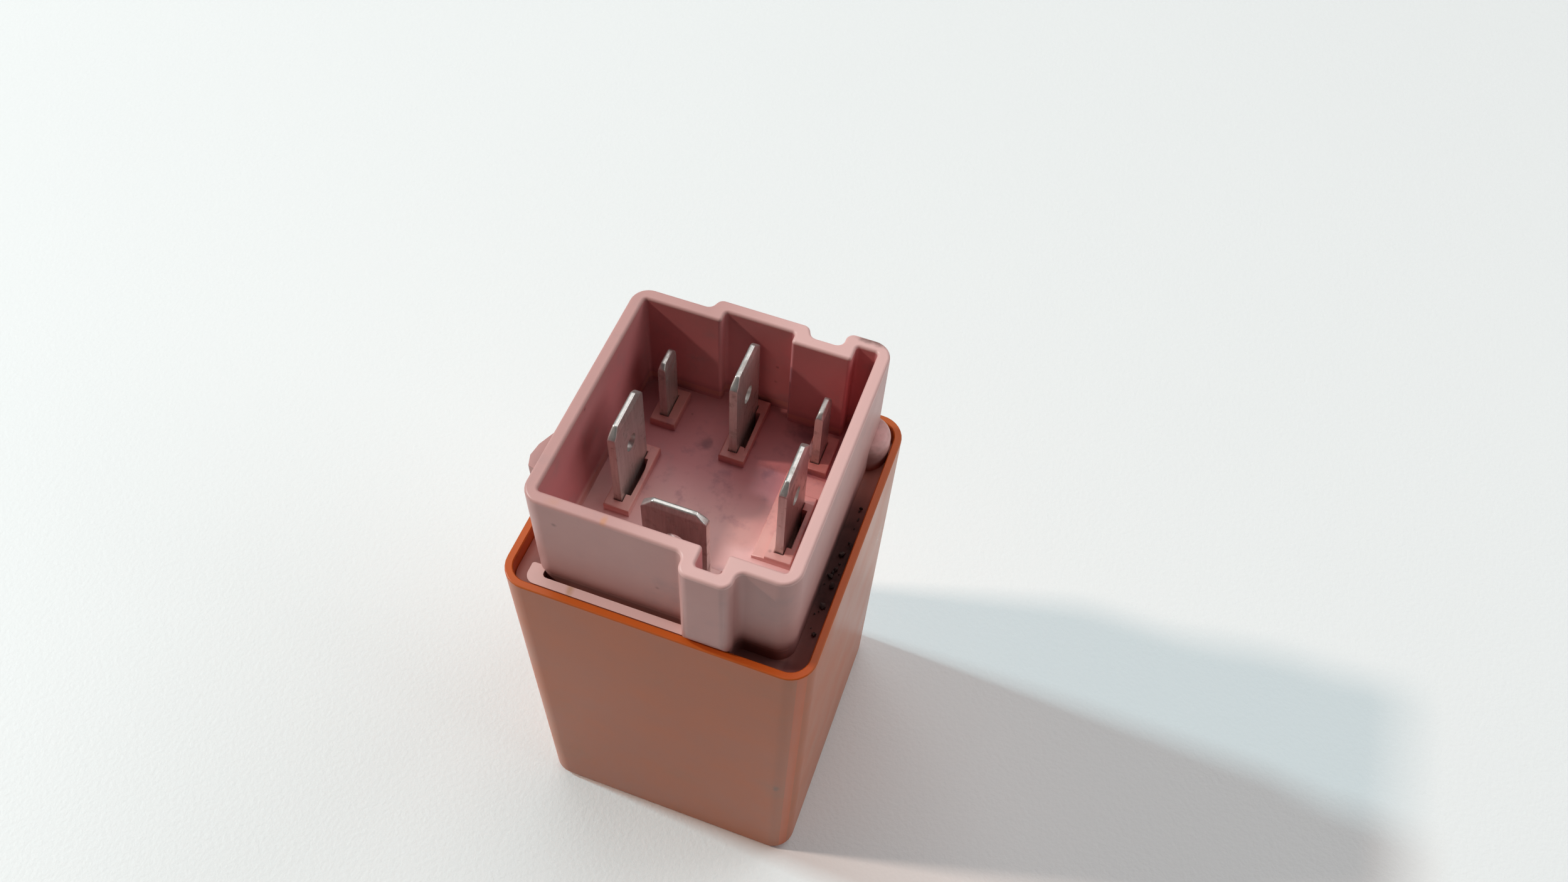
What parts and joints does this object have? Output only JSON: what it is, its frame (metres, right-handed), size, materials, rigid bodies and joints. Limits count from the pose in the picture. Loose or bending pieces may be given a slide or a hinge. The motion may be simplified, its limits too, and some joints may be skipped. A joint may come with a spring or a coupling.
{
  "type": "automotive relay",
  "caption": "Plug-in automotive relay: a box cover closed by a base with a keyed skirt round its blades, over an electromagnet and changeover contacts.",
  "frame": {"origin": "middle of the cover's closed end, which the relay stands on", "axes": "+Z from the closed end towards the blades' tips, -Y towards the front wall with the key channel, +X to the right along the front wall"},
  "size_m": [0.0314, 0.0318, 0.0617],
  "materials": {
    "cover_plastic": "satin, moulded",
    "base_plastic": "satin, moulded",
    "tinned_blade": "dull tin plate over brass",
    "soft_iron": "zinc plated, dull",
    "nylon": "smooth",
    "enamelled_wire": "enamelled copper",
    "resistor_lacquer": "lacquered",
    "tinned_wire": "tinned copper",
    "spring_bronze": "rolled bronze strip",
    "contact_silver": "silver alloy",
    "spring_steel": "drawn wire",
    "copper_braid": "bare braided copper"
  },
  "bodies": {
    "case": {"cover": "cover_plastic", "base": "base_plastic", "terminal_30": "tinned_blade", "terminal_87": "tinned_blade", "terminal_87b": "tinned_blade", "terminal_87a": "tinned_blade", "terminal_85": "tinned_blade", "terminal_86": "tinned_blade", "yoke": "soft_iron", "core": "soft_iron", "bobbin": "nylon", "winding": "enamelled_wire", "coil_lead_85": "enamelled_wire", "coil_lead_86": "enamelled_wire", "resistor_body": "resistor_lacquer", "resistor_leads": "tinned_wire", "make_contact": "contact_silver", "break_contact": "contact_silver", "return_spring": "spring_steel", "pigtail": "copper_braid"},
    "armature": {"armature": "soft_iron", "contact_blade": "spring_bronze", "blade_rivets": "soft_iron", "moving_contact": "contact_silver"}
  },
  "joints": [
    {"name": "armature_pull_in", "type": "hinge", "parent": "case", "child": "armature", "pos_m": [0.0002, 0.0103, 0.01092], "axis": [-1, 0, 0], "range_deg": [0, 3], "stiffness_Nm_per_rad": 0.03, "springref_deg": -11.46, "deforming": ["return_spring", "pigtail"]}
  ]
}
